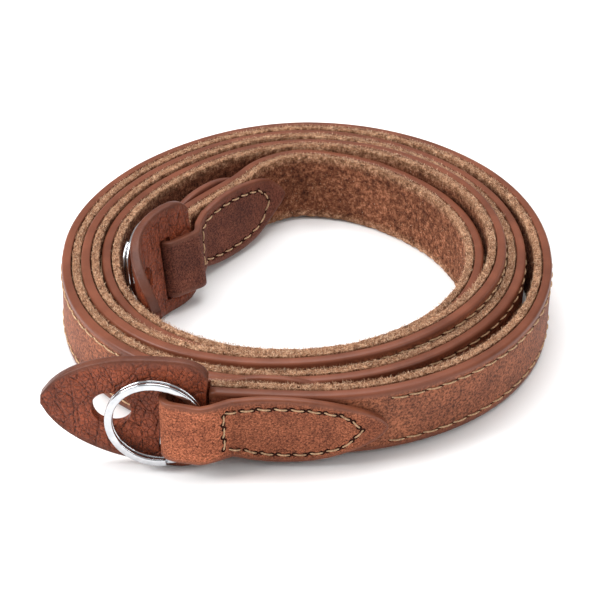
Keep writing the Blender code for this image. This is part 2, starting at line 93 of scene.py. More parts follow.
def routeRows():
    rows = [(angle, share * band["coilRadius"]) for angle, share in band["firstTurn"]]
    radius = dict(rows)
    pitch = thickness + band["turnGap"]
    for turn, *shares in band["laterTurns"]:
        for k, share in enumerate(shares):
            angle = 360.0 * (turn - 1) + 45.0 * k
            radius[angle] = radius[angle - 360.0] + pitch + share * thickness
            rows.append((angle, radius[angle]))
    front = rows[-1][0]
    for past, share in band["outerEnd"]:
        rows.append((front + past, radius[front - 360.0] + pitch + share * thickness))
    return rows


route = routeRows()
routeStart, routeEnd = route[0][0], route[-1][0]


def planPoint(angle):
    turn = math.radians(90.0 - angle)
    return Vector((math.cos(turn), math.sin(turn), 0.0)) * readTable(route, angle)


def station(angle):
    reach = band["tangentReach"]
    ahead, behind = min(angle + reach, routeEnd), max(angle - reach, routeStart)
    tangent = (planPoint(ahead) - planPoint(behind)).normalized()
    outward = Vector((-tangent.y, tangent.x, 0.0))
    lean = math.radians(readTable(band["lean"], angle % 360.0))
    up = worldUp * math.cos(lean) + outward * math.sin(lean)
    normal = outward * math.cos(lean) - worldUp * math.sin(lean)
    rise = max(readTable(band["lift"], angle), 0.0) * band["width"] + faceSide * abs(math.sin(lean))
    middle = planPoint(angle) + worldUp * (rise + band["width"] / 2 * math.cos(lean)) + shift
    return middle, normal, up, tangent


count = round((routeEnd - routeStart) / band["step"])
stations = [station(routeStart + (routeEnd - routeStart) * k / count) for k in range(count + 1)]
lengths = [0.0]
for before, after in zip(stations, stations[1:]):
    lengths.append(lengths[-1] + (after[0] - before[0]).length)
print("route: %.3f m of band" % lengths[-1])


def bandAt(length, across, height):
    low, high = 0, count - 1
    while low < high:
        middle = (low + high + 1) // 2
        low, high = (middle, high) if lengths[middle] <= length else (low, middle - 1)
    t = (length - lengths[low]) / (lengths[low + 1] - lengths[low])
    point, normal, up = [stations[low][k].lerp(stations[low + 1][k], t) for k in range(3)]
    return point + normal * across + up * height, normal, up


def placeAt(point, across, up, stretch=1.0):
    turned = Matrix((across, up.cross(across), up * stretch)).transposed().to_4x4()
    turned.translation = point
    return turned


markNames = ("across", "height", "edge", "along")


def marks(bm):
    return [bm.verts.layers.float[key] for key in markNames]


# A closed section is extruded from place to place. Its points keep their place in the
# section as attributes, for the materials.
def sweepSection(section, places):
    bm = bmesh.new()
    for key in markNames:
        bm.verts.layers.float.new(key)
    across, height, edge, along = marks(bm)
    loop = [bm.verts.new((x, 0.0, z)) for x, z, share in section]
    for vert, (x, z, share) in zip(loop, section):
        vert[across], vert[height], vert[edge] = x, z, share
    edges = [bm.edges.new(pair) for pair in zip(loop, loop[1:] + loop[:1])]
    bmesh.ops.contextual_create(bm, geom=loop + edges)
    length = 0.0
    for i, place in enumerate(places):
        if i:
            grown = bmesh.ops.extrude_edge_only(bm, edges=edges)["geom"]
            loop = [part for part in grown if isinstance(part, bmesh.types.BMVert)]
            edges = [part for part in grown
                     if isinstance(part, bmesh.types.BMEdge) and part.is_boundary]
            length += (place.translation - places[i - 1].translation).length
        for vert in loop:
            vert.co = place @ Vector((vert[across], 0.0, vert[height]))
            vert[along] = length
    bmesh.ops.contextual_create(bm, geom=loop + edges)
    bmesh.ops.recalc_face_normals(bm, faces=bm.faces)
    return bm


# A strip's section: two flat sides and four rounded corners, with the share of edge there
def stripSection(low, high, half, lowRound, highRound, corner=4, flats=8, groove=None):
    points = []
    corners = ((high, -half, highRound, -90), (high, half, highRound, 0),
               (low, half, lowRound, 90), (low, -half, lowRound, 180))
    for sideways, upward, radius, begin in corners:
        middle = (sideways - math.copysign(radius, sideways - (low + high) / 2),
                  upward - math.copysign(radius, upward))
        for k in range(corner + 1):
            turn = math.radians(begin + 90 * k / corner)
            points.append((middle[0] + radius * math.cos(turn),
                           middle[1] + radius * math.sin(turn), 1.0))
        if begin == -90 and groove:
            inset, wide, deep = groove
            seam = half - inset
            points += [(high, -seam - wide, 0.0), (high - deep, -seam, 0.0), (high, -seam + wide, 0.0)]
            points += [(high, seam * k / 3, 0.0) for k in (-2, -1, 0, 1, 2)]
            points += [(high, seam - wide, 0.0), (high - deep, seam, 0.0), (high, seam + wide, 0.0)]
        elif begin in (-90, 90):
            x, z, share = points[-1]
            reach = 2 * (half - radius) * (1 if begin == -90 else -1)
            points += [(x, z + reach * k / flats, 0.0) for k in range(1, flats)]
    return points


def finishPiece(name, bm, look, body, replaced=()):
    mesh = bpy.data.meshes.new(name)
    bm.to_mesh(mesh)
    bm.free()
    mesh.materials.append(look)
    mesh.shade_smooth()
    piece = bpy.data.objects.new(name, mesh)
    bpy.context.scene.collection.objects.link(piece)
    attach(piece, body)
    if replaced:
        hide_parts(*replaced)
    return piece


# Materials
def newLook(name):
    material = bpy.data.materials.new(name)
    material.use_nodes = True
    tree = material.node_tree
    return material, tree, tree.nodes["Principled BSDF"]


def ramp(tree, source, *stops):
    made = tree.nodes.new("ShaderNodeValToRGB")
    tree.links.new(source, made.inputs["Fac"])
    elements = made.color_ramp.elements
    while len(elements) < len(stops):
        elements.new(0.5)
    for element, (position, colour) in zip(elements, stops):
        element.position = position
        shades = colour if isinstance(colour, tuple) else (colour, colour, colour)
        element.color = (*shades, 1.0)
    return made.outputs["Color"]


def grain(tree, scale, detail=6.0, rough=0.6):
    place = tree.nodes.new("ShaderNodeTexCoord").outputs["Object"]
    made = tree.nodes.new("ShaderNodeTexNoise")
    made.inputs["Scale"].default_value = scale
    made.inputs["Detail"].default_value = detail
    made.inputs["Roughness"].default_value = rough
    tree.links.new(place, made.inputs["Vector"])
    return made.outputs["Fac"]


# Pebbles: cells with creases between them, pushed out of line by a noise
def pebbles(tree, scale, stretch, push, depth):
    place = tree.nodes.new("ShaderNodeTexCoord").outputs["Object"]
    mapping = tree.nodes.new("ShaderNodeMapping")
    mapping.inputs["Scale"].default_value = stretch
    tree.links.new(place, mapping.inputs["Vector"])
    waves = tree.nodes.new("ShaderNodeTexNoise")
    waves.inputs["Scale"].default_value = scale * 0.5
    tree.links.new(mapping.outputs["Vector"], waves.inputs["Vector"])
    moved = tree.nodes.new("ShaderNodeVectorMath")
    moved.operation = "MULTIPLY_ADD"
    moved.inputs[1].default_value = (push, push, push)
    tree.links.new(waves.outputs["Color"], moved.inputs[0])
    tree.links.new(mapping.outputs["Vector"], moved.inputs[2])
    cells = tree.nodes.new("ShaderNodeTexVoronoi")
    cells.feature = "DISTANCE_TO_EDGE"
    cells.inputs["Scale"].default_value = scale
    tree.links.new(moved.outputs["Vector"], cells.inputs["Vector"])
    return ramp(tree, cells.outputs["Distance"], (0.0, 0.0), (depth * 0.4, 0.75), (depth, 1.0))


def calc(tree, operation, a, b, c=None):
    made = tree.nodes.new("ShaderNodeMath")
    made.operation = operation
    for socket, value in zip(made.inputs, (a, b, c)):
        if isinstance(value, (int, float)):
            socket.default_value = value
        elif value is not None:
            tree.links.new(value, socket)
    return made.outputs["Value"]


def mix(tree, a, b, share=1.0, blend="MULTIPLY"):
    made = tree.nodes.new("ShaderNodeMix")
    made.data_type = "RGBA"
    made.blend_type = blend
    for key, value in ((0, share), (6, a), (7, b)):
        if isinstance(value, float):
            made.inputs[key].default_value = value
        else:
            tree.links.new(value, made.inputs[key])
    return made.outputs[2]


def bumps(tree, shader, *layers):
    last = None
    for height, strength, distance in layers:
        made = tree.nodes.new("ShaderNodeBump")
        made.inputs["Distance"].default_value = distance
        if isinstance(strength, float):
            made.inputs["Strength"].default_value = strength
        else:
            tree.links.new(strength, made.inputs["Strength"])
        tree.links.new(height, made.inputs["Height"])
        if last:
            tree.links.new(last, made.inputs["Normal"])
        last = made.outputs["Normal"]
    tree.links.new(last, shader.inputs["Normal"])


def readMark(tree, name):
    made = tree.nodes.new("ShaderNodeAttribute")
    made.attribute_name = name
    return made.outputs["Fac"]


def smoothLeather():
    material, tree, shader = newLook("smooth_leather")
    edge = readMark(tree, "edge")
    patch = grain(tree, 110.0, 5.0, 0.6)
    speck = grain(tree, 1900.0, 7.0, 0.75)
    body = mix(tree, ramp(tree, patch, (0.35, (0.185, 0.058, 0.028)), (0.65, (0.310, 0.105, 0.050))),
               ramp(tree, speck, (0.42, (0.32, 0.28, 0.26)), (0.58, (1.40, 1.38, 1.36))))
    rim = ramp(tree, patch, (0.35, (0.120, 0.034, 0.016)), (0.65, (0.185, 0.056, 0.028)))
    tree.links.new(mix(tree, body, rim, edge, "MIX"), shader.inputs["Base Color"])
    tree.links.new(calc(tree, "MULTIPLY_ADD", edge, -0.30, 0.66), shader.inputs["Roughness"])
    shader.inputs["Specular IOR Level"].default_value = 0.24
    flat = calc(tree, "MULTIPLY_ADD", edge, -0.55, 0.6)
    bumps(tree, shader, (patch, 0.2, 0.0004), (speck, flat, 0.00016))
    return material


def suede():
    material, tree, shader = newLook("suede")
    edge = readMark(tree, "edge")
    nap = grain(tree, 900.0, 8.0, 0.85)
    fine = grain(tree, 2600.0, 4.0, 0.8)
    broad = grain(tree, 70.0, 3.0, 0.5)
    inside = ramp(tree, nap, (0.38, (0.035, 0.011, 0.006)), (0.50, (0.190, 0.066, 0.033)),
                  (0.62, (0.480, 0.210, 0.115)))
    rim = ramp(tree, nap, (0.38, (0.060, 0.025, 0.014)), (0.50, (0.330, 0.162, 0.088)),
               (0.62, (0.760, 0.490, 0.310)))
    tone = mix(tree, inside, rim, edge, "MIX")
    tone = mix(tree, tone, ramp(tree, fine, (0.38, 0.55), (0.62, 1.35)))
    tone = mix(tree, tone, ramp(tree, broad, (0.35, (0.82, 0.78, 0.75)), (0.65, (1.15, 1.12, 1.10))))
    tree.links.new(tone, shader.inputs["Base Color"])
    shader.inputs["Roughness"].default_value = 0.95
    shader.inputs["Specular IOR Level"].default_value = 0.15
    bumps(tree, shader, (nap, 0.9, 0.0004), (fine, 0.7, 0.0002))
    return material


def napFibre():
    material, tree, shader = newLook("nap_fibre")
    colour = ramp(tree, readMark(tree, "shade"), (0.0, (0.070, 0.025, 0.013)),
                  (0.45, (0.400, 0.200, 0.110)), (1.0, (0.880, 0.630, 0.430)))
    tree.links.new(colour, shader.inputs["Base Color"])
    shader.inputs["Roughness"].default_value = 0.85
    shader.inputs["Specular IOR Level"].default_value = 0.2
    return material


# The leather is painted lighter over the fold: painted light, standing in for the light that falls on the
# fold. The stops are tenths of a metre along the tab.
def brushedLeather(name, dark, light, rimDark, rimLight, foldLight):
    material, tree, shader = newLook(name)
    edge = readMark(tree, "edge")
    # painted light: a lighter band over the fold, by the given factor
    foldLit = ramp(tree, calc(tree, "MULTIPLY", readMark(tree, "along"), 10.0), (0.28, 1.0),
                     (0.33, foldLight), (0.40, foldLight), (0.44, 1.0))
    patch = grain(tree, 150.0, 5.0, 0.6)
    speck = grain(tree, 2600.0, 6.0, 0.85)
    body = mix(tree, ramp(tree, patch, (0.35, dark), (0.65, light)),
               ramp(tree, speck, (0.40, (0.22, 0.18, 0.17)), (0.50, (0.85, 0.82, 0.82)),
                    (0.60, (1.75, 1.85, 1.95))))
    rim = ramp(tree, patch, (0.35, rimDark), (0.65, rimLight))
    body = mix(tree, body, foldLit)
    tree.links.new(mix(tree, body, rim, edge, "MIX"), shader.inputs["Base Color"])
    tree.links.new(calc(tree, "MULTIPLY_ADD", edge, -0.42, 0.82), shader.inputs["Roughness"])
    shader.inputs["Specular IOR Level"].default_value = 0.26
    flat = calc(tree, "MULTIPLY_ADD", edge, -0.75, 0.85)
    bumps(tree, shader, (patch, 0.25, 0.0004), (speck, flat, 0.0002))
    return material


def pebbledLeather():
    material, tree, shader = newLook("guard_leather")
    edge = readMark(tree, "edge")
    patch = grain(tree, 160.0, 5.0, 0.6)
    speck = grain(tree, 2200.0, 7.0, 0.75)
    small = pebbles(tree, 1000.0, (1.0, 1.0, 0.70), 0.0008, 0.20)
    creases = pebbles(tree, 330.0, (1.0, 1.0, 0.50), 0.0022, 0.10)
    body = mix(tree, ramp(tree, patch, (0.35, (0.150, 0.032, 0.012)), (0.65, (0.262, 0.060, 0.024))),
               ramp(tree, speck, (0.40, (0.55, 0.50, 0.48)), (0.60, (1.40, 1.38, 1.36))))
    body = mix(tree, body, ramp(tree, small, (0.0, 0.80), (1.0, 1.06)))
    body = mix(tree, body, ramp(tree, creases, (0.0, 0.84), (0.8, 1.03)))
    rim = ramp(tree, patch, (0.35, (0.075, 0.021, 0.011)), (0.65, (0.130, 0.040, 0.021)))
    tree.links.new(mix(tree, body, rim, edge, "MIX"), shader.inputs["Base Color"])
    tree.links.new(calc(tree, "MULTIPLY_ADD", edge, -0.10, 0.50), shader.inputs["Roughness"])
    shader.inputs["Specular IOR Level"].default_value = 0.24
    flat = calc(tree, "MULTIPLY_ADD", edge, -0.6, 0.7)
    bumps(tree, shader, (creases, flat, 0.0005), (small, flat, 0.00025), (speck, 0.3, 0.0001))
    return material


def steel():
    material, tree, shader = newLook("polished_steel")
    swirl = grain(tree, 500.0, 4.0, 0.6)
    tree.links.new(ramp(tree, swirl, (0.3, (0.48, 0.49, 0.51)), (0.7, (0.62, 0.63, 0.65))),
                   shader.inputs["Base Color"])
    shader.inputs["Metallic"].default_value = 1.0
    tree.links.new(calc(tree, "MULTIPLY_ADD", swirl, 0.10, 0.05), shader.inputs["Roughness"])
    return material


def threadLook():
    material, tree, shader = newLook("thread")
    fuzz = grain(tree, 2600.0, 4.0, 0.7)
    tree.links.new(ramp(tree, fuzz, (0.35, (0.280, 0.150, 0.075)), (0.65, (0.680, 0.440, 0.250))),
                   shader.inputs["Base Color"])
    shader.inputs["Roughness"].default_value = 0.75
    bumps(tree, shader, (fuzz, 0.6, 0.0001))
    return material


# painted shade: a near-black disc stands in for the shade inside a needle hole
def holeShadeLook():
    material, tree, shader = newLook("needle_hole_shade")
    fuzz = grain(tree, 2600.0, 2.0, 0.5)
    tree.links.new(ramp(tree, fuzz, (0.3, (0.012, 0.004, 0.003)), (0.7, (0.040, 0.013, 0.008))),
                   shader.inputs["Base Color"])
    shader.inputs["Roughness"].default_value = 0.9
    shader.inputs["Specular IOR Level"].default_value = 0.05
    return material


looks = {
    "smooth": smoothLeather(), "suede": suede(), "fibre": napFibre(), "guard": pebbledLeather(),
    "outerTab": brushedLeather("tab_leather", (0.205, 0.058, 0.026), (0.330, 0.102, 0.046),
                               (0.125, 0.036, 0.017), (0.195, 0.060, 0.029), 1.45),
    # the inner tab is the same leather painted darker: painted shade for its side turned from the light,
    # with less painted light on its fold
    "innerTab": brushedLeather("tab_leather_painted_shade", (0.105, 0.030, 0.017), (0.180, 0.054, 0.030),
                               (0.105, 0.031, 0.017), (0.170, 0.054, 0.029), 1.10),
    "steel": steel(), "thread": threadLook(), "hole": holeShadeLook(),
}
print("materials made")

# The band's layers
layerLook = {
    "faceRound": 0.62 * mm, "backRound": 0.25 * mm, "liningRound": 0.35 * mm,
    "groove": (2.0 * mm, 0.35 * mm, 0.14 * mm), "wave": 0.12 * mm, "waveRate": 70.0, "layerRate": 900.0,
    "nap": 0.20 * mm, "napRate": 1100.0, "fineRate": 2500.0, "fineShare": 0.6, "napSink": 0.35,
}
bandPlaces = [placeAt(point, normal, up) for point, normal, up, tangent in stations]


def bandLayer(name, section, nap, look, replaced):
    bm = sweepSection(section, bandPlaces)
    across, height, edge, along = marks(bm)
    middle = (min(p[0] for p in section) + max(p[0] for p in section)) / 2
    half = max(p[0] for p in section) - middle
    for vert in bm.verts:
        wave = layerLook["wave"] * noise.noise(
            Vector((vert[along] * layerLook["waveRate"], middle * layerLook["layerRate"], 0.0)))
        point, normal, up = bandAt(vert[along], 0.0, 0.0)
        if vert[height] > 0.0:
            vert.co += up * wave
        if nap:
            rough = (noise.noise(vert.co * layerLook["napRate"])
                     + layerLook["fineShare"] * noise.noise(vert.co * layerLook["fineRate"])
                     - layerLook["napSink"])
            out = normal * (vert[across] - middle) / half
            if vert[edge] > 0.5:
                out = out * 0.5 + up * math.copysign(1.0, vert[height])
            vert.co += out * rough * nap
        vert.co.z = max(vert.co.z, 0.0)
    return finishPiece(name, bm, look, "strap", replaced)


innerGap = band["layerGap"] / 2
bandLayer("band_face", stripSection(innerGap, faceSide, band["width"] / 2, layerLook["backRound"],
                                    layerLook["faceRound"], groove=layerLook["groove"]),
          0.0, looks["smooth"], ("strap_face",))
bandLayer("band_lining", stripSection(liningSide, -innerGap, band["width"] / 2, layerLook["liningRound"],
                                      layerLook["liningRound"]),
          layerLook["nap"], looks["suede"], ("strap_lining",))
print("band made")

# The raised nap: short fibres on the lining's top edge and on its inner side
napLook = {
    "edge": 44000, "side": 20000, "seed": 7, "shortest": 0.22 * mm, "longest": 0.62 * mm,
    "sideShare": 0.6, "thick": 0.065 * mm, "inset": 0.05 * mm, "sunk": 0.02 * mm, "spread": (-0.46, 0.49),
    "lie": 0.8, "flattest": 0.1, "bendAt": 0.55, "curl": 0.3, "edgeTone": 0.50, "sideTone": 0.36,
    "toneSpread": 0.25,
}


def raiseNap(name, number, onEdge):
    pick = random.Random(napLook["seed"] + number)
    bm = bmesh.new()
    shade = bm.verts.layers.float.new("shade")
    for k in range(number):
        if onEdge:
            across = pick.uniform(liningSide + napLook["inset"], -innerGap - napLook["inset"])
            height = band["width"] / 2 - napLook["sunk"]
        else:
            across = liningSide
            height = pick.uniform(*napLook["spread"]) * band["width"]
        root, normal, up = bandAt(pick.uniform(0.0, lengths[-1]), across, height)
        out = up if onEdge else -normal
        lie = Vector((pick.gauss(0, 1), pick.gauss(0, 1), pick.gauss(0, 1))).normalized()
        way = (out * pick.uniform(0.3, 0.9) + lie * napLook["lie"]).normalized()
        if way.dot(out) < napLook["flattest"]:
            way = way + out * (2 * napLook["flattest"] - way.dot(out))
        reach = pick.uniform(napLook["shortest"], napLook["longest"])
        reach *= 1.0 if onEdge else napLook["sideShare"]
        side = way.cross(out).normalized() * napLook["thick"] * pick.uniform(0.6, 1.2) / 2
        bend = root + way * reach * napLook["bendAt"]
        tip = root + way * reach + lie * reach * napLook["curl"]
        if min(tip.z, bend.z) < 0.0:
            continue
        blade = [bm.verts.new(p) for p in (root - side, root + side, bend + side, bend - side, tip)]
        middleTone = napLook["edgeTone"] if onEdge else napLook["sideTone"]
        tone = min(max(pick.gauss(middleTone, napLook["toneSpread"]), 0.0), 1.0)
        for vert in blade:
            vert[shade] = tone
        bm.faces.new(blade[:4])
        bm.faces.new((blade[3], blade[2], blade[4]))
    return finishPiece(name, bm, looks["fibre"], "strap", ())


raiseNap("edge_nap", napLook["edge"], True)
raiseNap("side_nap", napLook["side"], False)
print("nap made")

# Tabs, guards and rings. Outlines are (share of length, share of half width).
tab = {
    "thickness": 1.4 * mm, "width": 16.0 * mm, "loopShare": 0.82, "long": 32.0 * mm, "short": 28.0 * mm,
    "runIn": 0.12, "round": 0.45 * mm, "seat": 0.3 * mm, "tongueSteps": 44, "loopSteps": 110,
    "outline": (
        (0.000, 0.02), (0.040, 0.26), (0.120, 0.50), (0.250, 0.74), (0.380, 0.90), (0.500, 0.98),
        (0.660, 1.00), (0.780, 0.95), (0.880, 0.87), (1.000, 0.85)),
}
guard = {
    "length": 30.5 * mm, "height": 24.0 * mm, "thickness": 2.0 * mm, "round": 0.55 * mm, "steps": 90,
    "slotWidth": 3.0 * mm, "slotHeight": 14.2 * mm, "slotDrop": 1.7 * mm, "slotAt": 7.2 * mm,
    "slotCorner": 0.5 * mm, "holeWidth": 7.5 * mm, "holeHeight": 7.3 * mm, "holeAt": 17.4 * mm,
    "holeDrop": 0.25 * mm, "holeCorner": 3.5 * mm, "cornerSteps": 10, "sharp": 50.0,
    "bendFrom": 0.20, "bendTo": 0.95,
    "outline": (
        (0.000, 0.80), (0.025, 0.89), (0.070, 0.96), (0.140, 1.00), (0.240, 1.00), (0.400, 0.96),
        (0.560, 0.89), (0.700, 0.77), (0.810, 0.62), (0.890, 0.46), (0.950, 0.29), (1.000, 0.08)),
}
ring = {"diameter": 18.9 * mm, "wire": 0.80 * mm, "band": 1.5 * mm, "turnGap": 0.18 * mm, "steps": 120,
        "sides": 16, "square": 0.6, "ramp": 0.17}
# Loops: share of the way to the slot, layer, tab thicknesses outwards, share of lean
outer = {
    "slotOut": 8.2 * mm, "guardStand": 0.4, "guardPitch": -5.0, "ringEndGap": 0.5 * mm,
    "ringRise": 0.5 * mm, "split": 110.0, "snug": 0.6 * mm,
    "loop": (
        (0.12, "ringFront", 0.35, 0.6), (0.45, "ringFront", 0.20, 0.2), (0.86, "ringFront", -0.30, 0.0),
        (1.02, "ring", 0.20, 0.0), (1.01, "guard", 0.75, 0.0), (1.00, "guard", -0.75, 0.0),
        (0.90, "guardBack", -0.35, 0.0), (0.72, "guardBack", -0.60, 0.0), (0.38, "guardBack", -0.50, 0.4),
        (0.05, "lining", -0.95, 0.9)),
}
inner = {
    "slotOut": 11.3 * mm, "slotAside": 1.8 * mm, "guardTurn": 18.0, "guardBend": 80.0, "guardLean": 5.0,
    "guardPitch": 2.0, "ringBack": 1.4 * mm, "ringClear": 1.3 * mm, "ringTurn": 8.0, "ringLean": 12.0,
    "split": 60.0,
    "loop": (
        (0.10, "strapFront", 0.10, 0.0), (0.40, "ringFront", 0.35, 0.7), (0.62, "ringFront", 0.15, 1.0),
        (0.82, "ringFront", 0.10, 1.0), (0.94, "ring", 0.60, 0.9), (0.97, "ring", -0.50, 0.7),
        (1.00, "guard", 0.00, 0.42), (1.03, "guard", -0.80, 0.42), (1.00, "guardBack", 0.10, 0.42),
        (0.88, "guardBack", -0.05, 0.42), (0.60, "guardBack", -0.15, 0.42),
        (0.37, "guardBack", -0.05, 0.42), (0.10, "lining", -2.00, 0.15)),
}
ringDepth = 2 * ring["wire"] + ring["turnGap"]
tabSeat = tab["seat"] + tab["thickness"] / 2


def endFrame(atOuter):
    middle, normal, up, tangent = stations[-1 if atOuter else 0]
    face = Vector((normal.x, normal.y, 0.0)).normalized()
    return middle.copy(), tangent * (1.0 if atOuter else -1.0), face


def tongueRows(atOuter, length, across):
    rows = []
    for k in range(tab["tongueSteps"] + 1):
        share = k / tab["tongueSteps"] * (1.0 - tab["runIn"])
        back = length * (1.0 - share)
        point, normal, up = bandAt(lengths[-1] - back if atOuter else back, across, 0.0)
        rows.append((point, up, readTable(tab["outline"], share) * tab["width"] / 2))
    return rows


# The whole tab: the tongue on the face, the loop through ring and guard, the tongue behind
def tabRows(atOuter, loop, reach, layers, lean, rise, faceLength, liningLength):
    face = tongueRows(atOuter, faceLength, faceSide + tabSeat)
    lining = tongueRows(atOuter, liningLength, liningSide - tabSeat)
    middle, heading, side = endFrame(atOuter)
    centres, tops = [face[-1][0]], [face[-1][1]]
    for share, layer, outward, leanShare in loop:
        out = share * reach
        across = layers[layer](out) + outward * tab["thickness"]
        angle = math.radians(lean) * leanShare
        centres.append(middle + heading * out + side * across + worldUp * rise * min(share, 1.0))
        tops.append(worldUp * math.cos(angle) + side * math.sin(angle))
    centres.append(lining[-1][0])
    tops.append(lining[-1][1])
    places = [0.0]
    for before, after in zip(centres, centres[1:]):
        places.append(places[-1] + (after - before).length)
    edge, steps = face[-1][2], tab["loopSteps"]
    waist = tab["loopShare"] * tab["width"] / 2
    rows = list(face)
    for k in range(1, steps - 1):
        at = places[-1] * k / (steps - 1)
        point, top = [
            Vector([readTable([(x, p[axis]) for x, p in zip(places, points)], at) for axis in range(3)])
            for points in (centres, tops)]
        half = edge + (waist - edge) * math.sin(math.pi * k / (steps - 1))
        rows.append((point, top.normalized(), half))
    return rows + lining[::-1]


def rowNormals(rows):
    normals = []
    for i, (point, up, half) in enumerate(rows):
        ahead, behind = rows[min(i + 1, len(rows) - 1)][0], rows[max(i - 1, 0)][0]
        normals.append(up.cross(ahead - behind).normalized())
    return normals


border = {"wide": 1.0 * mm, "fade": 0.7 * mm}


# A strip of leather whose half width changes along it, its border marked for the material
def cutStrip(name, rows, thick, rounding, look, replaced):
    widest = max(half for point, up, half in rows)
    section = stripSection(-thick / 2, thick / 2, widest, rounding, rounding, flats=14)
    places = [placeAt(point, normal, up, half / widest)
              for (point, up, half), normal in zip(rows, rowNormals(rows))]
    bm = sweepSection(section, places)
    across, height, edge, along = marks(bm)
    reached, halfAt = 0.0, {}
    for i, (point, up, half) in enumerate(rows):
        reached += (point - rows[i - 1][0]).length if i else 0.0
        halfAt[round(reached, 6)] = half
    for vert in bm.verts:
        half = halfAt.get(round(vert[along], 6), widest)
        inside = half * (1.0 - abs(vert[height]) / widest)
        vert[edge] = min(max((border["wide"] - inside) / border["fade"], 0.0), 1.0)
    return finishPiece(name, bm, look, "strap", replaced)


def guardRows(hinge, heading, bend, lean, pitch, snug=0.0):
    points, headings = [Vector((0.0, 0.0, 0.0))], [heading]
    for k in range(guard["steps"]):
        share = (k + 0.5) / guard["steps"]
        done = min(max((share - guard["bendFrom"]) / (guard["bendTo"] - guard["bendFrom"]), 0.0), 1.0)
        headings.append(Matrix.Rotation(math.radians(bend) * done, 3, "Z") @ heading)
        points.append(points[-1] + headings[-1] * guard["length"] / guard["steps"])
    side = worldUp.cross(heading).normalized()
    slotCentre = heading * guard["slotAt"]
    turn = (Matrix.Translation(hinge) @ Matrix.Rotation(math.radians(pitch), 4, side)
            @ Matrix.Rotation(math.radians(lean), 4, heading) @ Matrix.Translation(-slotCentre))
    top = (turn.to_3x3() @ worldUp).normalized()
    rows = [(turn @ point, top, readTable(guard["outline"], k / guard["steps"]) * guard["height"] / 2)
            for k, point in enumerate(points)]
    index = int(guard["holeAt"] / guard["length"] * guard["steps"])
    slot = slotCentre - worldUp * guard["slotDrop"] - heading * snug / 2
    hole = points[index] - worldUp * guard["holeDrop"]
    cuts = ((slot, heading, guard["slotWidth"] - snug, guard["slotHeight"], guard["slotCorner"]),
            (hole, headings[index + 1], guard["holeWidth"], guard["holeHeight"], guard["holeCorner"]))
    return rows, turn, cuts


# The slot and the lug hole are cut with rounded blocks.
def cutGuard(leaf, turn, cuts):
    for centre, along, width, height, corner in cuts:
        bm = bmesh.new()
        bmesh.ops.create_cube(bm, size=1.0)
        bmesh.ops.scale(bm, vec=(width, 4 * guard["thickness"], height), verts=bm.verts)
        through = [edge for edge in bm.edges
                   if abs(edge.verts[0].co.y - edge.verts[1].co.y) > guard["thickness"]]
        bmesh.ops.bevel(bm, geom=through, offset=corner, segments=guard["cornerSteps"], profile=0.5,
                        material=-1, affect="EDGES")
        bmesh.ops.transform(bm, matrix=turn @ placeAt(centre, along, worldUp), verts=bm.verts)
        bmesh.ops.recalc_face_normals(bm, faces=bm.faces)
        mesh = bpy.data.meshes.new("punch")
        bm.to_mesh(mesh)
        bm.free()
        punch = bpy.data.objects.new("punch", mesh)
        bpy.context.scene.collection.objects.link(punch)
        modifier = leaf.modifiers.new("punched", "BOOLEAN")
        modifier.solver = "EXACT"
        modifier.object = punch
        evaluated = leaf.evaluated_get(bpy.context.evaluated_depsgraph_get())
        punched = bpy.data.meshes.new_from_object(evaluated)
        leaf.modifiers.clear()
        leaf.data = punched
        bpy.data.objects.remove(punch)
    leaf.data.set_sharp_from_angle(angle=math.radians(guard["sharp"]))


def splitRing(name, centre, along, normal, split, body, replaced):
    radius = ring["diameter"] / 2 - ring["band"] / 2
    third = normal.cross(along).normalized()
    section = []
    for k in range(ring["sides"]):
        turn = 2 * math.pi * (k + 0.5) / ring["sides"]
        c, s = math.cos(turn), math.sin(turn)
        section.append((math.copysign(abs(c) ** ring["square"], c) * ring["band"] / 2,
                        math.copysign(abs(s) ** ring["square"], s) * ring["wire"] / 2, 0.0))
    places = []
    for k in range(2 * ring["steps"] - 3):
        share = (k + 1) / ring["steps"]
        angle = math.radians(split) + 2 * math.pi * share
        climb = min(max((share - 1.0) / ring["ramp"] + 0.5, 0.0), 1.0)
        level = (ring["wire"] + ring["turnGap"]) * (climb * climb * (3 - 2 * climb) - 0.5)
        out = along * math.cos(angle) + third * math.sin(angle)
        places.append(placeAt(centre + out * radius + normal * level, out, normal))
    bm = sweepSection(section, places)
    return finishPiece(name, bm, looks["steel"], body, replaced)


def buildOuterEnd():
    middle, heading, face = endFrame(True)
    guardAt = faceSide + (outer["guardStand"] - 0.5) * guard["thickness"]
    ringAt = guardAt + guard["thickness"] / 2 + tab["seat"] + ringDepth / 2
    layers = {
        "ringFront": lambda out: ringAt + ringDepth / 2 + tabSeat,
        "ring": lambda out: ringAt,
        "guard": lambda out: guardAt,
        "guardBack": lambda out: guardAt - guard["thickness"] / 2 - tabSeat,
        "lining": lambda out: liningSide,
    }
    lean = readTable(band["lean"], routeEnd % 360.0)
    rows = tabRows(True, outer["loop"], outer["slotOut"], layers, lean, 0.0, tab["long"], tab["short"])
    cutStrip("outer_tab_leather", rows, tab["thickness"], tab["round"], looks["outerTab"], ("outer_tab",))
    hinge = middle + heading * outer["slotOut"] + face * guardAt
    hinge.z = guard["height"] / 2 + tab["seat"] + shift.z
    leaf, turn, cuts = guardRows(hinge, heading, 0.0, 0.0, outer["guardPitch"], outer["snug"])
    piece = cutStrip("outer_guard_leather", leaf, guard["thickness"], guard["round"], looks["guard"],
                     ("outer_ring_guard",))
    cutGuard(piece, turn, cuts)
    centre = middle + heading * (outer["ringEndGap"] + ring["diameter"] / 2) + face * ringAt
    centre.z += outer["ringRise"]
    splitRing("outer_ring_steel", centre, heading, face, outer["split"], "outer_ring",
              ("outer_split_ring",))
    return rows


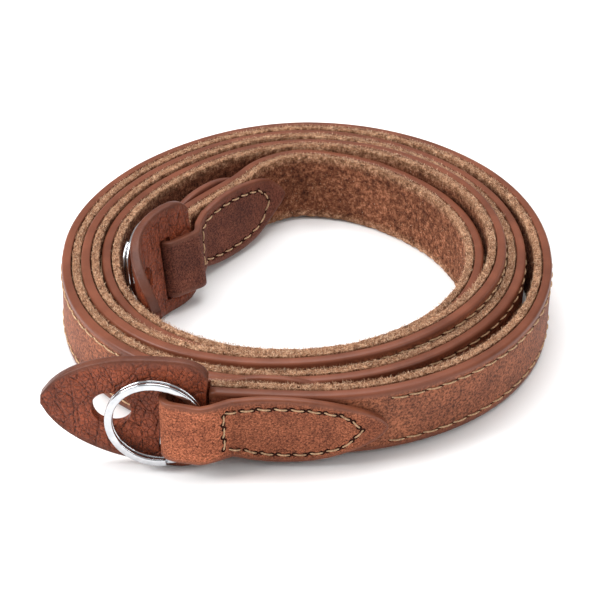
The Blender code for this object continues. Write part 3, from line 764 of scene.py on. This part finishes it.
def buildInnerEnd():
    middle, heading, face = endFrame(False)
    guardTurn, ringTurn, ringLean = [
        math.radians(inner[key]) for key in ("guardTurn", "ringTurn", "ringLean")]
    ringOut = inner["slotOut"] - inner["ringBack"]
    ringAt = -inner["slotAside"] + (guard["thickness"] + ringDepth) / 2 + inner["ringClear"]
    layers = {
        "strapFront": lambda out: faceSide + tabSeat,
        "ring": lambda out: ringAt + (out - ringOut) * math.tan(ringTurn),
        "ringFront": lambda out: layers["ring"](out) + ringDepth / 2 + tabSeat,
        "guard": lambda out: -inner["slotAside"] + (out - inner["slotOut"]) * math.tan(guardTurn),
        "guardBack": lambda out: layers["guard"](out) - guard["thickness"] / 2 - tabSeat,
        "lining": lambda out: liningSide,
    }
    hinge = middle + heading * inner["slotOut"] - face * inner["slotAside"]
    hinge.z = guard["height"] / 2 + tab["seat"] + shift.z
    rows = tabRows(False, inner["loop"], inner["slotOut"], layers, inner["ringLean"],
                   hinge.z - guard["slotDrop"] - middle.z, tab["short"], tab["long"])
    cutStrip("inner_tab_leather", rows, tab["thickness"], tab["round"], looks["innerTab"], ("inner_tab",))
    guardHeading = heading * math.cos(guardTurn) + face * math.sin(guardTurn)
    leaf, turn, cuts = guardRows(hinge, guardHeading, inner["guardBend"], inner["guardLean"],
                                 inner["guardPitch"])
    piece = cutStrip("inner_guard_leather", leaf, guard["thickness"], guard["round"], looks["guard"],
                     ("inner_ring_guard",))
    cutGuard(piece, turn, cuts)
    along = heading * math.cos(ringTurn) + face * math.sin(ringTurn)
    level = face * math.cos(ringTurn) - heading * math.sin(ringTurn)
    normal = level * math.cos(ringLean) - worldUp * math.sin(ringLean)
    centre = middle + heading * ringOut + face * ringAt
    centre.z = ring["diameter"] / 2 * math.cos(ringLean) + ringDepth / 2 + tab["seat"] + shift.z
    splitRing("inner_ring_steel", centre, along, normal, inner["split"], "inner_ring",
              ("inner_split_ring",))
    return rows


outerRows = buildOuterEnd()
innerRows = buildInnerEnd()
print("ends made")

# Stitches: an arched thread between two dark discs, painted shade for the needle holes
stitch = {
    "seed": 3, "thread": 0.17 * mm, "sides": 6, "bend": 0.5 * mm, "arc": 120.0, "arcSteps": 6,
    "chord": 0.90 * mm, "sunk": 0.30 * mm, "slant": 0.16 * mm, "oval": 1.2, "raised": 0.03 * mm,
    "pitch": 3.4 * mm, "long": 2.6 * mm, "rowIn": 2.0 * mm, "bedded": 0.06 * mm, "hole": 0.42 * mm,
    "tabPitch": 3.0 * mm, "tabLong": 1.95 * mm, "tabIn": 2.2 * mm, "tabHole": 0.55 * mm,
    "tabFoot": 0.98, "tabPoint": 0.16, "footSteps": 12, "sideSteps": 40, "narrowing": 0.10,
    "narrowPower": 0.6,
}


def makeThread():
    bm = bmesh.new()
    circle = bmesh.ops.create_circle(bm, segments=stitch["sides"], radius=stitch["thread"])
    bmesh.ops.translate(bm, vec=(-stitch["bend"], 0.0, 0.0), verts=circle["verts"])
    begin = math.radians((180.0 - stitch["arc"]) / 2)
    bmesh.ops.rotate(bm, matrix=Matrix.Rotation(begin, 3, "Y"), verts=circle["verts"])
    bmesh.ops.spin(bm, geom=bm.edges[:], cent=(0.0, 0.0, 0.0), axis=(0.0, 1.0, 0.0),
                   angle=math.radians(stitch["arc"]), steps=stitch["arcSteps"], use_merge=False)
    mesh = bpy.data.meshes.new("one_thread")
    bm.to_mesh(mesh)
    bm.free()
    return mesh


def makeHole():
    bm = bmesh.new()
    bmesh.ops.create_circle(bm, cap_ends=True, cap_tris=True, segments=10, radius=1.0)
    mesh = bpy.data.meshes.new("one_hole")
    bm.to_mesh(mesh)
    bm.free()
    return mesh


threadMesh = makeThread()
holeMesh = makeHole()


def stamp(bm, mesh, matrix):
    known = len(bm.verts)
    bm.from_mesh(mesh)
    bm.verts.ensure_lookup_table()
    for vert in bm.verts[known:]:
        vert.co = matrix @ vert.co


def sew(threads, holes, start, end, out, hole):
    along = (end - start).normalized()
    side = out.cross(along).normalized()
    up = along.cross(side)
    stretch = (end - start).length
    turned = Matrix((along * stretch / stitch["chord"], side, up)).transposed().to_4x4()
    turned.translation = (start + end) / 2 - up * stitch["sunk"]
    stamp(threads, threadMesh, turned)
    for point in (start, end):
        disc = Matrix((along * hole * stitch["oval"], side * hole, up)).transposed().to_4x4()
        disc.translation = point + up * stitch["raised"]
        stamp(holes, holeMesh, disc)


def finishSeam(name, threads, holes):
    bmesh.ops.recalc_face_normals(threads, faces=threads.faces)
    finishPiece(name + "_thread", threads, looks["thread"], "strap")
    finishPiece(name + "_hole_shade", holes, looks["hole"], "strap")


def bandSeams():
    pick = random.Random(stitch["seed"])
    threads, holes = bmesh.new(), bmesh.new()
    for row in (-1, 1):
        across, height = faceSide - stitch["bedded"], row * (band["width"] / 2 - stitch["rowIn"])
        at = tab["short"] * 0.9 + (0.4 if row > 0 else 0.0) * stitch["pitch"]
        while at + stitch["long"] < lengths[-1] - tab["long"] * 0.97:
            slant = stitch["slant"] * pick.uniform(0.6, 1.3)
            start, normal, up = bandAt(at, across, height - slant)
            end, normalEnd, upEnd = bandAt(at + stitch["long"], across, height + slant)
            sew(threads, holes, start, end, (normal + normalEnd).normalized(), stitch["hole"])
            at += stitch["pitch"] * pick.uniform(0.97, 1.03)
    finishSeam("band_seam", threads, holes)


# A tab's seam runs up its foot and round its point, on the surface of the tab itself.
def tabSeam(name, rows, length, way):
    pick = random.Random(stitch["seed"] + len(name))
    normals = rowNormals(rows)
    reached = [0.0]
    for before, after in zip(rows, rows[1:]):
        reached.append(reached[-1] + (after[0] - before[0]).length)

    def onTab(share, height):
        at = share * length
        k = max(i for i in range(len(rows) - 1) if reached[i] <= at)
        t = (at - reached[k]) / (reached[k + 1] - reached[k])
        side = normals[k] * way
        point = rows[k][0].lerp(rows[k + 1][0], t)
        return point + rows[k][1] * height + side * tab["thickness"] / 2, side

    foot, tip = stitch["tabFoot"], stitch["tabPoint"]
    top = readTable(tab["outline"], foot) * tab["width"] / 2 - stitch["tabIn"]
    line = [(foot, -top + 2 * top * k / stitch["footSteps"]) for k in range(stitch["footSteps"] + 1)]
    for row in (1, -1):
        part = []
        for k in range(1, stitch["sideSteps"] + 1):
            share = foot + (tip - foot) * k / stitch["sideSteps"]
            half = readTable(tab["outline"], share) * tab["width"] / 2
            past = max(share - tip, 0.0) / stitch["narrowing"]
            narrow = min(1.0, past) ** stitch["narrowPower"]
            part.append((share, row * max(half - stitch["tabIn"], 0.0) * narrow))
        line += part if row > 0 else part[::-1]
    placed = [onTab(share, height) for share, height in line]
    places = [0.0]
    for before, after in zip(placed, placed[1:]):
        places.append(places[-1] + (after[0] - before[0]).length)

    def locate(at):
        k = max(i for i in range(len(places) - 1) if places[i] <= at)
        t = (at - places[k]) / max(places[k + 1] - places[k], 1e-9)
        return placed[k][0].lerp(placed[k + 1][0], t), placed[k][1]

    threads, holes = bmesh.new(), bmesh.new()
    number = int(places[-1] / stitch["tabPitch"])
    pitch = places[-1] / number
    for k in range(number):
        start, out = locate(k * pitch + (pitch - stitch["tabLong"]) / 2)
        end, outEnd = locate(k * pitch + (pitch + stitch["tabLong"]) / 2)
        side = (end - start).normalized().cross(out) * stitch["slant"] * pick.uniform(0.4, 1.0)
        sew(threads, holes, start - side, end + side, out, stitch["tabHole"])
    finishSeam(name, threads, holes)


bandSeams()
tabSeam("outer_front_seam", outerRows, tab["long"], 1)
tabSeam("outer_back_seam", outerRows[::-1], tab["short"], -1)
tabSeam("inner_front_seam", innerRows, tab["short"], -1)
tabSeam("inner_back_seam", innerRows[::-1], tab["long"], 1)
bpy.data.meshes.remove(threadMesh)
bpy.data.meshes.remove(holeMesh)
print("stitches made")

# Floor, light and camera
studio = {
    "distance": 0.400, "elevation": 34.0, "target": Vector((-1.5, -9.0, 7.5)) * mm + shift,
    "sensor": 36.0, "lens": 117.6, "nearest": 0.01, "floor": 4.0, "sky": 0.56, "horizon": 0.60,
    "lights": (
        ("top_box", (0.00, 0.16, 0.75), (0.60, 0.50), 5.2),
        ("left_box", (-0.60, -0.15, 0.42), (0.30, 0.40), 5.0),
        ("right_box", (0.60, -0.40, 0.38), (0.20, 0.50), 1.4)),
}


def buildFloor():
    material, tree, shader = newLook("white_sweep")
    paper = grain(tree, 3.0, 2.0, 0.5)
    tree.links.new(ramp(tree, paper, (0.3, 0.95), (0.7, 0.97)), shader.inputs["Base Color"])
    shader.inputs["Roughness"].default_value = 0.6
    shader.inputs["Specular IOR Level"].default_value = 0.2
    bm = bmesh.new()
    bmesh.ops.create_grid(bm, x_segments=1, y_segments=1, size=studio["floor"])
    mesh = bpy.data.meshes.new("floor")
    bm.to_mesh(mesh)
    bm.free()
    mesh.materials.append(material)
    floor = bpy.data.objects.new("floor", mesh)
    bpy.context.scene.collection.objects.link(floor)


def buildLight():
    world = bpy.data.worlds.new("studio")
    bpy.context.scene.world = world
    world.use_nodes = True
    tree = world.node_tree
    background = tree.nodes["Background"]
    place = tree.nodes.new("ShaderNodeTexCoord")
    split = tree.nodes.new("ShaderNodeSeparateXYZ")
    tree.links.new(place.outputs["Generated"], split.inputs["Vector"])
    tree.links.new(ramp(tree, split.outputs["Z"], (0.0, studio["horizon"]), (0.8, 1.0)),
                   background.inputs["Color"])
    background.inputs["Strength"].default_value = studio["sky"]
    for name, spot, size, power in studio["lights"]:
        data = bpy.data.lights.new(name, "AREA")
        data.shape = "RECTANGLE"
        data.size, data.size_y = size
        data.energy = power
        light = bpy.data.objects.new(name, data)
        bpy.context.scene.collection.objects.link(light)
        light.location = spot
        light.rotation_euler = (-Vector(spot)).to_track_quat("-Z", "Y").to_euler()


def buildCamera():
    angle = math.radians(studio["elevation"])
    look = Vector((0.0, math.cos(angle), -math.sin(angle)))
    data = bpy.data.cameras.new("camera")
    data.sensor_width = studio["sensor"]
    data.lens = studio["lens"]
    data.clip_start = studio["nearest"]
    camera = bpy.data.objects.new("camera", data)
    bpy.context.scene.collection.objects.link(camera)
    camera.location = studio["target"] - look * studio["distance"]
    camera.rotation_euler = look.to_track_quat("-Z", "Y").to_euler()
    bpy.context.scene.camera = camera
    bpy.context.scene.view_settings.view_transform = "Standard"


buildFloor()
buildLight()
buildCamera()

print("stage made")
